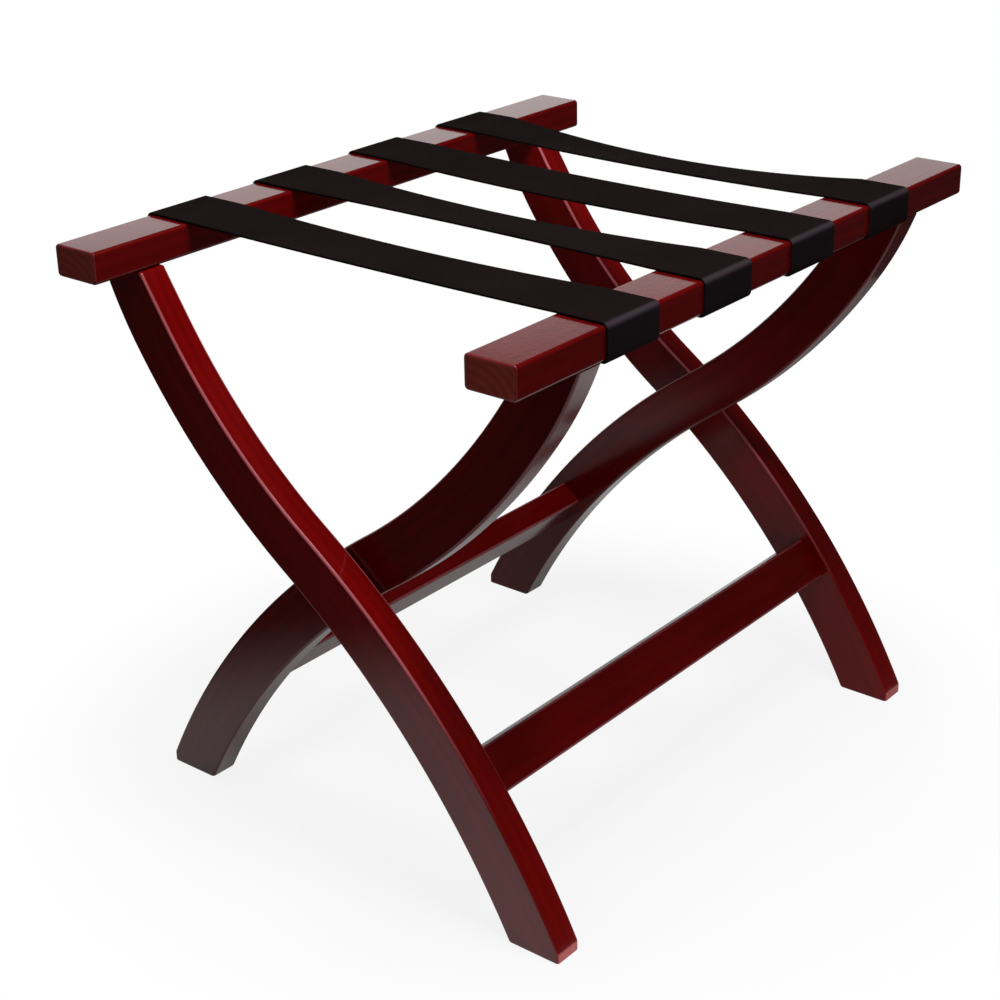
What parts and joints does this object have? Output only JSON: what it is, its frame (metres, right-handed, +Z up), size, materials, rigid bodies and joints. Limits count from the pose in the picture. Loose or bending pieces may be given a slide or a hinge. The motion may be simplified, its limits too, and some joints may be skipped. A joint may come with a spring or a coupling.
{
  "type": "folding luggage rack",
  "caption": "Folding wooden luggage rack: S-legged frames that cross on hidden pivots, with black webbing straps between the top rails to carry a suitcase.",
  "frame": {"origin": "on the floor, at the middle of the open rack's footprint", "axes": "+X across the rack towards the inner frame's rail, +Y along the rails, +Z up"},
  "size_m": [0.4626, 0.616, 0.5023],
  "materials": {
    "lacquered_wood": "glossy dark mahogany-red lacquer over visible grain",
    "webbing": "black woven webbing",
    "dowel_wood": "bare beech",
    "steel": "zinc-plated steel",
    "nylon": "black nylon"
  },
  "bodies": {
    "outer_frame": {"outer_rail": "lacquered_wood", "outer_leg_front": "lacquered_wood", "outer_leg_rear": "lacquered_wood", "outer_stretcher": "lacquered_wood", "outer_rail_dowel_1": "dowel_wood", "outer_rail_dowel_2": "dowel_wood", "outer_rail_dowel_3": "dowel_wood", "outer_rail_dowel_4": "dowel_wood", "outer_stretcher_dowel_1": "dowel_wood", "outer_stretcher_dowel_2": "dowel_wood", "outer_stretcher_dowel_3": "dowel_wood", "outer_stretcher_dowel_4": "dowel_wood", "outer_rail_tack_1": "steel", "outer_rail_tack_2": "steel", "outer_rail_tack_3": "steel", "outer_rail_tack_4": "steel", "outer_rail_tack_5": "steel", "outer_rail_tack_6": "steel", "outer_rail_tack_7": "steel", "outer_rail_tack_8": "steel", "pivot_pin_front": "steel", "pivot_pin_rear": "steel", "pivot_washer_front": "nylon", "pivot_washer_rear": "nylon", "strap_1": "webbing", "strap_2": "webbing", "strap_3": "webbing", "strap_4": "webbing"},
    "inner_frame": {"inner_rail": "lacquered_wood", "inner_leg_front": "lacquered_wood", "inner_leg_rear": "lacquered_wood", "inner_stretcher": "lacquered_wood", "inner_rail_dowel_1": "dowel_wood", "inner_rail_dowel_2": "dowel_wood", "inner_rail_dowel_3": "dowel_wood", "inner_rail_dowel_4": "dowel_wood", "inner_stretcher_dowel_1": "dowel_wood", "inner_stretcher_dowel_2": "dowel_wood", "inner_stretcher_dowel_3": "dowel_wood", "inner_stretcher_dowel_4": "dowel_wood", "inner_rail_tack_1": "steel", "inner_rail_tack_2": "steel", "inner_rail_tack_3": "steel", "inner_rail_tack_4": "steel", "inner_rail_tack_5": "steel", "inner_rail_tack_6": "steel", "inner_rail_tack_7": "steel", "inner_rail_tack_8": "steel", "pivot_bush_front": "nylon", "pivot_bush_rear": "nylon"}
  },
  "joints": [
    {"name": "fold", "type": "hinge", "parent": "outer_frame", "child": "inner_frame", "pos_m": [0, 0, 0.2496], "axis": [0, -1, 0], "range_deg": [0, 71], "deforming": ["strap_1", "strap_2", "strap_3", "strap_4"]}
  ]
}
